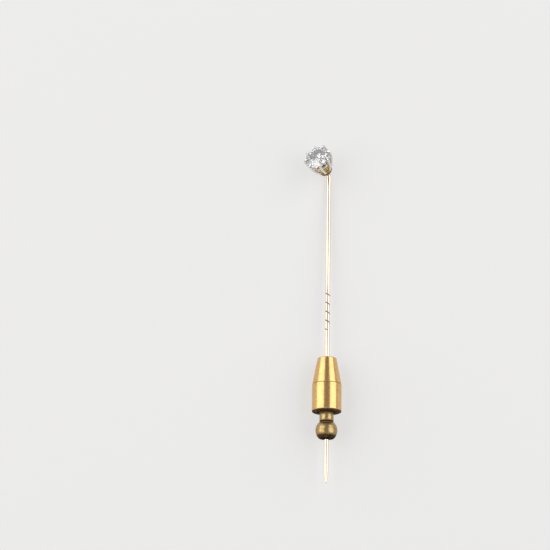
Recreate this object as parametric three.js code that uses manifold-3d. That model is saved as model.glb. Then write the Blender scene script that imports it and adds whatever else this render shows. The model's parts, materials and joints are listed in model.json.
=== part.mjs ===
// Stick pin with a solitaire head and a pull-to-release ball clutch. Millimetres, +Z up.
// The pin lies on a flat surface: +Y runs from the point towards the head, +X to its right.
import * as THREE from 'three';
import { mergeVertices } from 'three/addons/utils/BufferGeometryUtils.js';
import Module from 'manifold-3d';

const wasm = await Module();
wasm.setup();

const DEGREES = Math.PI / 180;
const FULL_TURN = 2 * Math.PI;

// Stem: distances run along the wire's axis from the point.
const POINT_RADIUS = 0.17;
const POINT_LENGTH = 0.2;
const TAPER_LENGTH = 2.1;
const WIRE_RADIUS_AT_TAPER = 0.385;
const WIRE_RADIUS_AT_HEAD = 0.43;
const BEND_START = 56.53;
const BEND_RADIUS = 0.8;
const BEND_ANGLE = 71 * DEGREES;
const BEND_STEPS = 8;
const STEM_SIDES = 20;
const JOIN_OVERLAP = 0.01;

// The left-handed groove that keeps the stem from sliding in the cloth.
const GROOVE_START = 27.9;
const GROOVE_PITCH = 1.66;
const GROOVE_TURNS = 4.6;
const GROOVE_STEPS_PER_TURN = 14;
const GROOVE_CUTTER_RADIUS = 0.15;
const GROOVE_DEPTH = 0.09;
const SWELL_RADIUS = 0.45;
const SWELL_RAMP = 0.2;

// Head: heights run along its own axis from the collet's back face.
const HEAD_ROLL = 25 * DEGREES;
const COLLET_STAND_OFF = 0.73;
const COLLET_BASE_RADIUS = 1.18;
const COLLET_BASE_HEIGHT = 0.45;
const COLLET_RIM_RADIUS = 1.32;
const COLLET_HEIGHT = 1.5;
const COLLET_WALL = 0.28;
const COLLET_RIM_HEIGHT = 0.2;
const COLLET_GROOVE = 0.1;
const COLLET_EDGE = 0.06;
const TULIP_POWER = 2;
const TULIP_STEPS = 6;
const STEM_SEAT_RADIUS = 0.46;
const WINDOW_WIDTH = 0.56;
const WINDOW_SILL = 0.56;
const WINDOW_HEAD_MARGIN = 0.08;
const COLLET_SIDES = 48;

const CLAW_COUNT = 8;
const CLAW_RADIUS = 0.23;
const CLAW_STAND_OUT = 0.12;
const CLAW_TIP_REACH = 0.34;
const CLAW_TIP_RISE = 0.56;
const CLAW_LINE = [[1.36, 0.85], [1.5, 1.2], [1.72, 1.65], [1.98, 2.2], [2.28, 3.15]];
const RAIL_RADIUS = 1.82;
const RAIL_WALL = 0.28;
const RAIL_FOOT = 2.5;
const RAIL_HEIGHT = 0.3;
const CLAW_SHOULDER_RISE = 0.3;
const SEAT_GAP = 0.02;
const CLAW_PHASE = 0.44;
const CLAW_SIDES = 8;
const CLAW_STEPS = 14;

const STONE_RADIUS = 2.3;
const GIRDLE_HEIGHT = 0.1;
const GIRDLE_LEVEL = 4.1;
const TABLE_RATIO = 0.56;
const CROWN_ANGLE = 34.5 * DEGREES;
const STAR_ANGLE = 22 * DEGREES;
const UPPER_HALF_ANGLE = 40.5 * DEGREES;
const PAVILION_ANGLE = 40.8 * DEGREES;
const LOWER_HALF_ANGLE = 42.3 * DEGREES;
const MAIN_FACETS = 8;
const GIRDLE_SIDES = 64;
const SEAT_SIDES = 48;

// Clutch: distances run along the stem's axis from the point.
const NOSE_FACE = 22.63;
const CONE_FOOT = 17.85;
const BARREL_REAR = 12.8;
const NOSE_RADIUS = 1.72;
const CONE_FOOT_RADIUS = 2.59;
const BARREL_RADIUS = 2.625;
const EDGE_RADIUS = 0.16;
const NOSE_BORE_RADIUS = 0.56;
const RACE_FRONT_RADIUS = 0.98;
const RACE_ANGLE = 12 * DEGREES;
const RACE_FRONT = 21.9;
const SPIGOT_BORE_RADIUS = 1.75;
const SPIGOT_RADIUS = 2.12;
const SPIGOT_REAR = 16.75;
const BARREL_BORE_RADIUS = 2.14;
const LIP_INNER_RADIUS = 1.72;
const LIP_THICKNESS = 0.3;
const BORE_CHAMFER = 0.12;
const SEAM_CHAMFER = 0.05;
const CLUTCH_SIDES = 32;

const WASHER_THICKNESS = 0.5;
const WASHER_BORE_RADIUS = 1.3;
const RUNNING_GAP = 0.04;

const NECK_RADIUS = 1.25;
const PLUNGER_BORE_RADIUS = 0.54;
const CAGE_RADIUS = 1.16;
const CAGE_FRONT = 20.75;
const CAGE_CHAMFER = 0.15;
const FLANGE_FRONT = 16.55;
const FLANGE_REAR = 16.05;
const FLANGE_RADIUS = 1.95;
const NECK_REAR = 11.1;
const TAIL_RADIUS = 0.94;
const TAIL_INSET = 0.5;

const KNOB_RADIUS = 1.95;
const KNOB_CENTRE = 9.46;
const KNOB_FLAT = 1.45;
const KNOB_BORE_RADIUS = 0.975;
const KNOB_MOUTH_RADIUS = 1.12;
const KNOB_MOUTH_DEPTH = 0.45;

const BALL_COUNT = 3;
const BALL_RADIUS = 0.5;
const BALL_ORBIT = 0.96;
const BALL_HOLE_RADIUS = 0.53;
const BALL_HOLE_FLOOR = 0.2;
const BALL_GAP = 0.02;
const BALL_HOLE_SIDES = 20;

const SPRING_WIRE_RADIUS = 0.14;
const SPRING_RADIUS = 1.62;
const SPRING_TURNS = 3.5;
const SPRING_END_GAP = 0.04;
const SPRING_STEPS_PER_TURN = 16;

const metal = (color, roughness) =>
  new THREE.MeshStandardMaterial({ color, roughness, metalness: 1 });
const roseGold = metal(0xe2b393, 0.16);
const yellowGold = metal(0xd9a441, 0.2);
const whiteGold = metal(0xd8d8d4, 0.15);
const turnedBrass = metal(0xcfa24e, 0.28);
const agedBrass = metal(0x8f6f35, 0.34);
const steel = metal(0xb8bbc0, 0.25);
const diamond = new THREE.MeshStandardMaterial({ color: 0xf4f5f6, roughness: 0.02 });

function named(name, geometry, material) {
  const mesh = new THREE.Mesh(geometry, material);
  mesh.name = name;
  return mesh;
}

function toSolid(geometry) {
  const bare = geometry.clone();
  bare.deleteAttribute('normal');
  bare.deleteAttribute('uv');
  const merged = mergeVertices(bare, 1e-5);
  const mesh = new wasm.Mesh({
    numProp: 3,
    vertProperties: new Float32Array(merged.attributes.position.array),
    triVerts: new Uint32Array(merged.index.array),
  });
  return new wasm.Manifold(mesh);
}

function toGeometry(solid) {
  const mesh = solid.getMesh();
  const geometry = new THREE.BufferGeometry();
  geometry.setAttribute('position', new THREE.BufferAttribute(mesh.vertProperties, 3));
  geometry.setIndex(new THREE.BufferAttribute(mesh.triVerts, 1));
  geometry.computeVertexNormals();
  return geometry;
}

// An arc of profile points, as [radius, height] pairs.
function arc(radius, height, size, from, to, steps) {
  const points = [];
  for (let i = 0; i <= steps; i += 1) {
    const angle = from + (to - from) * i / steps;
    points.push([radius + size * Math.cos(angle), height + size * Math.sin(angle)]);
  }
  return points;
}

// A profile that starts and ends on the axis, turned about it.
function turned(profile, sides) {
  const points = profile.map(([radius, height]) => new THREE.Vector2(Math.max(radius, 0), height));
  return new THREE.LatheGeometry(points, sides);
}

// A profile that goes once round a bored piece's wall and closes on itself.
function turnedRing(profile, sides) {
  return turned([...profile, profile[0]], sides);
}

function disc(radius, sides) {
  const shape = new THREE.Shape();
  for (let i = 0; i < sides; i += 1) {
    const angle = FULL_TURN * i / sides;
    const place = [radius * Math.cos(angle), radius * Math.sin(angle)];
    if (i === 0) {
      shape.moveTo(...place);
    } else {
      shape.lineTo(...place);
    }
  }
  shape.closePath();
  return shape;
}

function rodAlong(path, radius, sides, steps) {
  const options = { steps, bevelEnabled: false, extrudePath: path };
  return new THREE.ExtrudeGeometry(disc(radius, sides), options);
}

class Helix extends THREE.Curve {
  constructor(radius, pitch, turns, start, hand) {
    super();
    Object.assign(this, { radius, pitch, turns, start, hand });
  }

  getPoint(t, target = new THREE.Vector3()) {
    const angle = this.hand * FULL_TURN * this.turns * t;
    const height = this.start + this.pitch * this.turns * t;
    return target.set(this.radius * Math.sin(angle), height, this.radius * Math.cos(angle));
  }
}

class Bend extends THREE.Curve {
  getPoint(t, target = new THREE.Vector3()) {
    const angle = BEND_ANGLE * t;
    const along = BEND_START + BEND_RADIUS * Math.sin(angle);
    return target.set(0, along, BEND_RADIUS * (1 - Math.cos(angle)));
  }
}

function wireRadiusAt(distance) {
  const along = (distance - TAPER_LENGTH) / (BEND_START - TAPER_LENGTH);
  return WIRE_RADIUS_AT_TAPER + along * (WIRE_RADIUS_AT_HEAD - WIRE_RADIUS_AT_TAPER);
}

// Tapered wire with a blunt point, a slightly swollen grooved length and a bend up to the head.
function stem() {
  const swellFoot = GROOVE_START - SWELL_RAMP;
  const swellTop = GROOVE_START + GROOVE_PITCH * GROOVE_TURNS + SWELL_RAMP;
  const straight = turned([
    [0, 0],
    [0.7 * POINT_RADIUS, POINT_LENGTH / 4],
    [POINT_RADIUS, POINT_LENGTH],
    [0.86 * WIRE_RADIUS_AT_TAPER, 0.6 * TAPER_LENGTH],
    [WIRE_RADIUS_AT_TAPER, TAPER_LENGTH],
    [wireRadiusAt(swellFoot - SWELL_RAMP), swellFoot - SWELL_RAMP],
    [SWELL_RADIUS, swellFoot],
    [SWELL_RADIUS, swellTop],
    [wireRadiusAt(swellTop + SWELL_RAMP), swellTop + SWELL_RAMP],
    [WIRE_RADIUS_AT_HEAD, BEND_START + JOIN_OVERLAP],
    [0, BEND_START + JOIN_OVERLAP],
  ], STEM_SIDES);
  const bend = rodAlong(new Bend(), WIRE_RADIUS_AT_HEAD, STEM_SIDES, BEND_STEPS);
  const tailLength = COLLET_STAND_OFF + COLLET_BASE_HEIGHT + JOIN_OVERLAP;
  const tail = new THREE.CylinderGeometry(
    WIRE_RADIUS_AT_HEAD, WIRE_RADIUS_AT_HEAD, tailLength, STEM_SIDES);
  tail.translate(0, tailLength / 2 - JOIN_OVERLAP, 0);
  tail.rotateX(BEND_ANGLE);
  const bendEnd = new Bend().getPoint(1);
  tail.translate(bendEnd.x, bendEnd.y, bendEnd.z);
  const wire = toSolid(straight).add(toSolid(bend)).add(toSolid(tail));
  const cutterOrbit = SWELL_RADIUS + GROOVE_CUTTER_RADIUS - GROOVE_DEPTH;
  const groovePath = new Helix(cutterOrbit, GROOVE_PITCH, GROOVE_TURNS, GROOVE_START, -1);
  const grooveSteps = Math.round(GROOVE_STEPS_PER_TURN * GROOVE_TURNS);
  const groove = rodAlong(groovePath, GROOVE_CUTTER_RADIUS, 6, grooveSteps);
  return named('stem', toGeometry(wire.subtract(toSolid(groove))), roseGold);
}

// The pierced cup at the claws' foot, with the stem's seat in its floor.
function collet() {
  const rimFoot = COLLET_HEIGHT - COLLET_RIM_HEIGHT;
  const waist = COLLET_BASE_RADIUS - COLLET_GROOVE;
  const swell = COLLET_RIM_RADIUS - COLLET_GROOVE - waist;
  const wall = [];
  for (let i = 0; i <= TULIP_STEPS; i += 1) {
    const along = i / TULIP_STEPS;
    const height = COLLET_BASE_HEIGHT + along * (rimFoot - COLLET_BASE_HEIGHT);
    wall.push([waist + swell * along ** TULIP_POWER, height]);
  }
  const inside = wall.map(([radius, height]) => [radius - COLLET_WALL, height]).reverse();
  const shell = turnedRing([
    [STEM_SEAT_RADIUS, 0],
    [COLLET_BASE_RADIUS - COLLET_EDGE, 0],
    [COLLET_BASE_RADIUS, COLLET_EDGE],
    [COLLET_BASE_RADIUS, COLLET_BASE_HEIGHT - COLLET_EDGE],
    ...wall,
    [COLLET_RIM_RADIUS, rimFoot + COLLET_EDGE],
    [COLLET_RIM_RADIUS, COLLET_HEIGHT - COLLET_EDGE],
    [COLLET_RIM_RADIUS - COLLET_EDGE, COLLET_HEIGHT],
    [COLLET_RIM_RADIUS - COLLET_WALL - COLLET_GROOVE, COLLET_HEIGHT],
    ...inside,
    [STEM_SEAT_RADIUS, COLLET_BASE_HEIGHT],
  ], COLLET_SIDES);
  const half = WINDOW_WIDTH / 2;
  const arch = new THREE.Shape();
  arch.moveTo(-half, WINDOW_SILL);
  arch.lineTo(half, WINDOW_SILL);
  arch.absarc(0, rimFoot - WINDOW_HEAD_MARGIN - half, half, 0, Math.PI, false);
  arch.closePath();
  const reach = 2 * COLLET_BASE_RADIUS;
  let pierced = toSolid(shell);
  for (let i = 0; i < CLAW_COUNT; i += 1) {
    const cutter = new THREE.ExtrudeGeometry(arch, {
      depth: reach, bevelEnabled: false, curveSegments: 5,
    });
    cutter.translate(0, 0, STEM_SEAT_RADIUS);
    cutter.rotateY(FULL_TURN * (i + CLAW_PHASE + 0.5) / CLAW_COUNT);
    pierced = pierced.subtract(toSolid(cutter));
  }
  return named('collet', toGeometry(pierced), yellowGold);
}

// The band that braces the claws from the inside, under the stone.
function clawRail() {
  const top = RAIL_FOOT + RAIL_HEIGHT;
  const band = turnedRing([
    [RAIL_RADIUS - RAIL_WALL, RAIL_FOOT],
    [RAIL_RADIUS - COLLET_EDGE, RAIL_FOOT],
    [RAIL_RADIUS, RAIL_FOOT + COLLET_EDGE],
    [RAIL_RADIUS, top - COLLET_EDGE],
    [RAIL_RADIUS - COLLET_EDGE, top],
    [RAIL_RADIUS - RAIL_WALL, top],
  ], COLLET_SIDES);
  return named('claw_rail', band, whiteGold);
}

// Everything that lies beyond a plane, as a box to cut away. The plane's normal leans out from the
// stone's axis by its tilt, at the given turn round it.
function beyond(tilt, turn, radius, height) {
  const size = 4 * STONE_RADIUS;
  const box = new THREE.BoxGeometry(size, size, size);
  box.translate(0, size / 2, 0);
  box.rotateZ(-tilt);
  box.translate(radius, height, 0);
  box.rotateY(turn);
  return toSolid(box);
}

function ringOfFacets(solid, count, phase, tilt, radius, height) {
  let cut = solid;
  for (let i = 0; i < count; i += 1) {
    cut = cut.subtract(beyond(tilt, FULL_TURN * (i + phase) / count, radius, height));
  }
  return cut;
}

// A round brilliant: table, eight mains with stars and halves above, mains and halves below.
function stone() {
  const girdleTop = GIRDLE_LEVEL + GIRDLE_HEIGHT / 2;
  const girdleFoot = GIRDLE_LEVEL - GIRDLE_HEIGHT / 2;
  const tableRadius = STONE_RADIUS * TABLE_RATIO;
  const table = girdleTop + (STONE_RADIUS - tableRadius) * Math.tan(CROWN_ANGLE);
  const depth = STONE_RADIUS * Math.tan(PAVILION_ANGLE);
  const height = table - girdleFoot + depth;
  const blank = new THREE.CylinderGeometry(STONE_RADIUS, STONE_RADIUS, height, GIRDLE_SIDES);
  blank.translate(0, table - height / 2, 0);
  const starRadius = tableRadius * Math.cos(Math.PI / MAIN_FACETS);
  const halves = 2 * MAIN_FACETS;
  const down = (tilt) => Math.PI - tilt;
  let gem = toSolid(blank);
  gem = ringOfFacets(gem, MAIN_FACETS, 0, CROWN_ANGLE, STONE_RADIUS, girdleTop);
  gem = ringOfFacets(gem, halves, 0.5, UPPER_HALF_ANGLE, STONE_RADIUS, girdleTop);
  gem = ringOfFacets(gem, MAIN_FACETS, 0.5, STAR_ANGLE, starRadius, table);
  gem = ringOfFacets(gem, MAIN_FACETS, 0, down(PAVILION_ANGLE), STONE_RADIUS, girdleFoot);
  gem = ringOfFacets(gem, halves, 0.5, down(LOWER_HALF_ANGLE), STONE_RADIUS, girdleFoot);
  return named('stone', toGeometry(gem), diamond);
}

// The space that each claw's seat leaves for the stone.
function stoneSeat() {
  const radius = STONE_RADIUS + SEAT_GAP;
  const below = radius * Math.tan(PAVILION_ANGLE);
  const above = radius * Math.tan(CROWN_ANGLE);
  const half = GIRDLE_HEIGHT / 2 + SEAT_GAP;
  return toSolid(turned([
    [0, GIRDLE_LEVEL - half - below],
    [radius, GIRDLE_LEVEL - half],
    [radius, GIRDLE_LEVEL + half],
    [0, GIRDLE_LEVEL + half + above],
  ], SEAT_SIDES));
}

// The space that each claw leaves for the collet's wall and rim.
function colletSeat() {
  const rim = COLLET_RIM_RADIUS + SEAT_GAP;
  const wallTop = COLLET_RIM_RADIUS - COLLET_GROOVE;
  const base = COLLET_BASE_RADIUS + SEAT_GAP;
  return toSolid(turned([
    [0, 0],
    [base, 0],
    [base, COLLET_BASE_HEIGHT + SEAT_GAP],
    [COLLET_BASE_RADIUS - COLLET_GROOVE + SEAT_GAP, COLLET_BASE_HEIGHT + SEAT_GAP],
    [wallTop + SEAT_GAP, COLLET_HEIGHT - COLLET_RIM_HEIGHT - SEAT_GAP],
    [rim, COLLET_HEIGHT - COLLET_RIM_HEIGHT],
    [rim, COLLET_HEIGHT + SEAT_GAP],
    [0, COLLET_HEIGHT + SEAT_GAP],
  ], SEAT_SIDES));
}

// One claw rises along the collet's wall and rim, is notched for the girdle and turns in.
function claw(number, seats) {
  const outside = STONE_RADIUS + CLAW_STAND_OUT;
  const tip = new THREE.Vector3(0, GIRDLE_LEVEL + CLAW_TIP_RISE, STONE_RADIUS - CLAW_TIP_REACH);
  const path = new THREE.CatmullRomCurve3([
    ...CLAW_LINE.map(([radius, height]) => new THREE.Vector3(0, height, radius)),
    new THREE.Vector3(0, GIRDLE_LEVEL, outside),
    new THREE.Vector3(0, GIRDLE_LEVEL + CLAW_SHOULDER_RISE, STONE_RADIUS + SEAT_GAP),
    tip,
  ]);
  const rod = toSolid(rodAlong(path, CLAW_RADIUS, CLAW_SIDES, CLAW_STEPS));
  const bead = new THREE.SphereGeometry(CLAW_RADIUS, CLAW_SIDES, CLAW_SIDES - 2);
  bead.translate(tip.x, tip.y, tip.z);
  let whole = rod.add(toSolid(bead));
  seats.forEach((seat) => {
    whole = whole.subtract(seat);
  });
  const geometry = toGeometry(whole);
  geometry.rotateY(FULL_TURN * (number - 1 + CLAW_PHASE) / CLAW_COUNT);
  return named(`claw_${number}`, geometry, whiteGold);
}

// The solitaire head, on its own axis, placed square on the end of the bent stem.
function head() {
  const group = new THREE.Group();
  const bendEnd = new Bend().getPoint(1);
  const rise = new THREE.Vector3(0, COLLET_STAND_OFF, 0);
  rise.applyAxisAngle(new THREE.Vector3(1, 0, 0), BEND_ANGLE);
  group.position.copy(bendEnd.add(rise));
  group.rotation.x = BEND_ANGLE;
  const seats = [stoneSeat(), colletSeat()];
  group.add(collet(), clawRail(), stone());
  for (let i = 1; i <= CLAW_COUNT; i += 1) {
    group.add(claw(i, seats));
  }
  return group;
}

const RACE_REAR = RACE_FRONT - (SPIGOT_BORE_RADIUS - RACE_FRONT_RADIUS) / Math.tan(RACE_ANGLE);
const BALL_PLACE = RACE_FRONT
  - (BALL_ORBIT + (BALL_RADIUS + BALL_GAP) / Math.cos(RACE_ANGLE) - RACE_FRONT_RADIUS)
  / Math.tan(RACE_ANGLE);

// Half a flat's turn, so that a clutch at rest lies on a flat of its faceted shell.
function ontoFlat(geometry) {
  return geometry.rotateY(Math.PI / CLUTCH_SIDES);
}

function noseCone() {
  const edge = NOSE_RADIUS - EDGE_RADIUS;
  return named('nose_cone', ontoFlat(turnedRing([
    [SPIGOT_BORE_RADIUS, SPIGOT_REAR],
    [SPIGOT_RADIUS, SPIGOT_REAR],
    [SPIGOT_RADIUS, CONE_FOOT],
    [CONE_FOOT_RADIUS, CONE_FOOT],
    ...arc(edge, NOSE_FACE - EDGE_RADIUS, EDGE_RADIUS, 10 * DEGREES, 90 * DEGREES, 4),
    [NOSE_BORE_RADIUS + BORE_CHAMFER, NOSE_FACE],
    [NOSE_BORE_RADIUS, NOSE_FACE - BORE_CHAMFER],
    [NOSE_BORE_RADIUS, RACE_FRONT],
    [RACE_FRONT_RADIUS, RACE_FRONT],
    [SPIGOT_BORE_RADIUS, RACE_REAR],
  ], CLUTCH_SIDES)), turnedBrass);
}

function barrel() {
  const front = CONE_FOOT - RUNNING_GAP;
  const edge = BARREL_RADIUS - EDGE_RADIUS;
  return named('barrel', ontoFlat(turnedRing([
    [LIP_INNER_RADIUS, BARREL_REAR],
    ...arc(edge, BARREL_REAR + EDGE_RADIUS, EDGE_RADIUS, -90 * DEGREES, 0, 4),
    [BARREL_RADIUS, front - SEAM_CHAMFER],
    [BARREL_RADIUS - SEAM_CHAMFER, front],
    [BARREL_BORE_RADIUS, front],
    [BARREL_BORE_RADIUS, BARREL_REAR + LIP_THICKNESS],
    [LIP_INNER_RADIUS, BARREL_REAR + LIP_THICKNESS],
  ], CLUTCH_SIDES)), turnedBrass);
}

const WASHER_REAR = BARREL_REAR + LIP_THICKNESS + RUNNING_GAP;
const WASHER_FRONT = WASHER_REAR + WASHER_THICKNESS;

function rearWasher() {
  const outer = BARREL_BORE_RADIUS - RUNNING_GAP;
  return named('rear_washer', ontoFlat(turnedRing([
    [WASHER_BORE_RADIUS, WASHER_REAR],
    [outer, WASHER_REAR],
    [outer, WASHER_FRONT],
    [WASHER_BORE_RADIUS, WASHER_FRONT],
  ], CLUTCH_SIDES)), turnedBrass);
}

// Ball cage, spring flange, neck and tail in one turned piece with the stem's bore through it.
function plunger() {
  const tailEnd = KNOB_CENTRE - KNOB_FLAT + TAIL_INSET;
  const profile = [
    [PLUNGER_BORE_RADIUS, tailEnd],
    [TAIL_RADIUS, tailEnd],
    [TAIL_RADIUS, NECK_REAR],
    [NECK_RADIUS, NECK_REAR],
    [NECK_RADIUS, FLANGE_REAR],
    [FLANGE_RADIUS, FLANGE_REAR],
    [FLANGE_RADIUS, FLANGE_FRONT],
    [CAGE_RADIUS, FLANGE_FRONT],
    [CAGE_RADIUS, CAGE_FRONT - CAGE_CHAMFER],
    [CAGE_RADIUS - CAGE_CHAMFER, CAGE_FRONT],
    [PLUNGER_BORE_RADIUS, CAGE_FRONT],
  ];
  let solid = toSolid(ontoFlat(turnedRing(profile, CLUTCH_SIDES)));
  for (let i = 0; i < BALL_COUNT; i += 1) {
    const drill = new THREE.CylinderGeometry(
      BALL_HOLE_RADIUS, BALL_HOLE_RADIUS, 2 * CAGE_RADIUS, BALL_HOLE_SIDES);
    drill.rotateX(90 * DEGREES);
    drill.translate(0, BALL_PLACE, CAGE_RADIUS + BALL_HOLE_FLOOR);
    drill.rotateY(FULL_TURN * i / BALL_COUNT);
    solid = solid.subtract(toSolid(drill));
  }
  return named('plunger', toGeometry(solid), agedBrass);
}

function pullKnob() {
  const rear = KNOB_CENTRE - KNOB_FLAT;
  const frontAngle = Math.acos(NECK_RADIUS / KNOB_RADIUS);
  const rearAngle = -Math.asin(KNOB_FLAT / KNOB_RADIUS);
  const front = KNOB_CENTRE + KNOB_RADIUS * Math.sin(frontAngle);
  return named('pull_knob', turnedRing([
    [KNOB_MOUTH_RADIUS, rear],
    ...arc(0, KNOB_CENTRE, KNOB_RADIUS, rearAngle, frontAngle, 10),
    [KNOB_BORE_RADIUS, front],
    [KNOB_BORE_RADIUS, rear + KNOB_MOUTH_DEPTH],
  ], CLUTCH_SIDES), agedBrass);
}

function gripBall(number) {
  const geometry = new THREE.SphereGeometry(BALL_RADIUS, 12, 8);
  geometry.translate(0, BALL_PLACE, BALL_ORBIT);
  geometry.rotateY(FULL_TURN * (number - 1) / BALL_COUNT);
  return named(`grip_ball_${number}`, geometry, steel);
}

function spring() {
  const start = WASHER_FRONT + SPRING_WIRE_RADIUS + SPRING_END_GAP;
  const end = FLANGE_REAR - SPRING_WIRE_RADIUS - SPRING_END_GAP;
  const path = new Helix(SPRING_RADIUS, (end - start) / SPRING_TURNS, SPRING_TURNS, start, 1);
  const steps = Math.round(SPRING_STEPS_PER_TURN * SPRING_TURNS);
  return named('spring', rodAlong(path, SPRING_WIRE_RADIUS, 6, steps), steel);
}

function clutch() {
  const group = new THREE.Group();
  group.add(noseCone(), barrel(), rearWasher(), plunger(), spring(), pullKnob());
  for (let i = 1; i <= BALL_COUNT; i += 1) {
    group.add(gripBall(i));
  }
  return group;
}

// The pin rests on the front edge of the clutch's barrel and on the underside of its bend.
function lyingPin() {
  const pin = new THREE.Group();
  pin.add(stem(), head());
  pin.rotation.y = -HEAD_ROLL;
  const whole = new THREE.Group();
  whole.add(pin, clutch());
  const drop = BARREL_RADIUS * Math.cos(Math.PI / CLUTCH_SIDES) - WIRE_RADIUS_AT_HEAD;
  whole.rotation.x = -Math.atan2(drop, BEND_START - CONE_FOOT);
  return whole;
}

// The origin is at the bottom centre of the whole pin's box.
const tieTack = new THREE.Group();
tieTack.add(lyingPin());
tieTack.updateMatrixWorld(true);
const box = new THREE.Box3().setFromObject(tieTack, true);
tieTack.children[0].position.set(
  -(box.min.x + box.max.x) / 2, -(box.min.y + box.max.y) / 2, -box.min.z);

export default tieTack;
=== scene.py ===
"""A stick pin with a solitaire head and a pull-to-release ball clutch, lying on a pale surface.

Each piece is modelled in millimetres in the pin's own frame, where +Y runs along the stem from its
point, and is then put in its place on the packed part.
"""

import json
import math
from types import SimpleNamespace

import bmesh
import bpy
from bpy.props import FloatProperty, FloatVectorProperty, IntProperty, PointerProperty
from mathutils import Matrix, Vector


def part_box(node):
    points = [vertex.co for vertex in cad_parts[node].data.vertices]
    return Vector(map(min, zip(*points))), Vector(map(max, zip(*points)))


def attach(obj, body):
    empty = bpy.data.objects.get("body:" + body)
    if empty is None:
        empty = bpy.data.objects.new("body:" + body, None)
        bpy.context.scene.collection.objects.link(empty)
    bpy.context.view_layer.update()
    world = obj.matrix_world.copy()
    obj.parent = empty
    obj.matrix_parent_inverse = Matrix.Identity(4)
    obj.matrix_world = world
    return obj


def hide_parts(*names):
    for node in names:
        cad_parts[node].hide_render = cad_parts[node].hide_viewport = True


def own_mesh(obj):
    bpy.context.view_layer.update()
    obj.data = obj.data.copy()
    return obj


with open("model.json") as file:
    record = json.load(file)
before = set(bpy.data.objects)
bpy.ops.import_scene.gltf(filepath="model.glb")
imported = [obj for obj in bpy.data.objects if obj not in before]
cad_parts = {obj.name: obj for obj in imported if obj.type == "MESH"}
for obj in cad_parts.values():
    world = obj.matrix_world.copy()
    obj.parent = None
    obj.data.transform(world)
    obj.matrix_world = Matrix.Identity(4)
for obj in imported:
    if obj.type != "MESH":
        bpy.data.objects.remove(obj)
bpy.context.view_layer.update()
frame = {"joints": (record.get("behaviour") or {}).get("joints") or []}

bl_info = {
    "name": "Stick Pin",
    "version": (1, 0, 0),
    "blender": (4, 5, 0),
    "location": "3D View > Sidebar > Stick Pin",
    "description": "Models a stick pin with a solitaire head and a ball clutch",
    "category": "Object",
}

MM = 0.001
FULL_TURN = 2 * math.pi

# Where the packed part holds the stem's axis: the clutch slides along it and turns about it.
JOINTS = {joint["name"]: joint for joint in frame["joints"]}
PIN_AXIS = Vector(JOINTS["clutch_slide"]["axis"])
AXIS_POINT = Vector(JOINTS["casing_turn"]["pos_m"])
POINT_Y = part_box("stem")[0].y
PIN_TIP = AXIS_POINT + PIN_AXIS * ((POINT_Y - AXIS_POINT.y) / PIN_AXIS.y)
PIN_PITCH = math.asin(PIN_AXIS.z)
PIN_PLACE = (Matrix.Translation(PIN_TIP) @ Matrix.Rotation(PIN_PITCH, 4, "X")
             @ Matrix.Scale(MM, 4))

CLAWS = 8
GRIP_BALLS = 3
SURFACE_RADIUS = 2.5

# The longest span of a turned piece on which painted shade and tarnish may fade, in millimetres.
SHADE_AND_TARNISH_STEP = 0.12

# Where a claw runs up to its waist, as shares of its rise and of its spread.
CLAW_CURVE = ((0, 0), (0.26, 0.23), (0.59, 0.58), (1, 1))

# A claw's shoulder: its height above the girdle and how far it stands out, in millimetres.
CLAW_SHOULDER = (0.3, 0.02)

# Tool marks as a noise pattern: its scale, its detail and its stretch in the pin's frame.
RINGS = (9, 4, (0.05, 1, 0.05))
DRAWN = (9, 4, (1, 0.04, 1))
FINE = (14, 4, (1, 1, 1))

# For each metal's slot: its colour setting, polish, wear, tool marks, their depth and its patina.
METALS = {
    "rose_gold": ("rose_gold", 0.06, 0.04, DRAWN, 0.0008, 0),
    "yellow_gold": ("yellow_gold", 0.12, 0.10, FINE, 0.004, 0),
    "white_gold": ("white_gold", 0.08, 0.08, FINE, 0.003, 0),
    "turned_brass": ("brass", 0.20, 0.07, RINGS, 0.003, 0),
    "aged_brass": ("old_brass", 0.27, 0.12, RINGS, 0.004, 0.45),
    "steel": ("steel", 0.16, 0.10, FINE, 0.003, 0),
}
DIAMOND_INDEX = 2.417


def length(name, description, default):
    """A length that the user can change. The default is in millimetres."""
    return number(name, description, default * MM, min=0, unit="LENGTH", precision=5)


def metres(name, description, default):
    """A distance on the stage that the user can change. The default is in metres."""
    return number(name, description, default, min=0.05, unit="LENGTH")


def number(name, description, default, **limits):
    """A plain number that the user can change."""
    return FloatProperty(name=name, description=description, default=default, **limits)


def angle(name, description, degrees):
    """An angle that the user can change. The default is in degrees."""
    return number(name, description, math.radians(degrees), unit="ROTATION")


def colour(name, description, default):
    """A colour that the user can change, in linear light."""
    return FloatVectorProperty(
        name=name, description=description, default=default, min=0, max=1, subtype="COLOR")


class StemSizes(bpy.types.PropertyGroup):
    """Sizes of the pin wire, with distances along its axis from the point"""
    point_radius: length("Point radius", "Radius of the blunt point", 0.17)
    point_length: length("Point length", "Length of the rounded end", 0.2)
    taper_length: length("Taper length", "Where the taper reaches the full wire", 2.1)
    taper_radius: length("Radius at taper", "Wire radius where the taper ends", 0.385)
    head_radius: length("Radius at head", "Wire radius at the bend", 0.43)
    bend_start: length("Bend start", "Where the wire starts to bend", 56.53)
    bend_radius: length("Bend radius", "Radius of the bend on the wire's axis", 0.8)
    bend_angle: angle("Bend angle", "How far the wire bends up to the head", 71)
    roll: angle("Head roll", "How far the bent head leans over to the left", 25)
    groove_start: length("Groove start", "Where the spiral groove starts", 27.9)
    groove_pitch: length("Groove pitch", "Rise of the groove in each turn", 1.66)
    groove_turns: number("Groove turns", "Turns of the left-handed groove", 4.6, min=0)
    groove_depth: length("Groove depth", "Depth of the groove at its middle", 0.1)
    groove_width: length("Groove width", "Width of the groove across its lips", 0.3)
    swell_radius: length("Swell radius", "Wire radius of the grooved length", 0.45)
    swell_ramp: length("Swell ramp", "Length over which the wire swells", 0.25)


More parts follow.
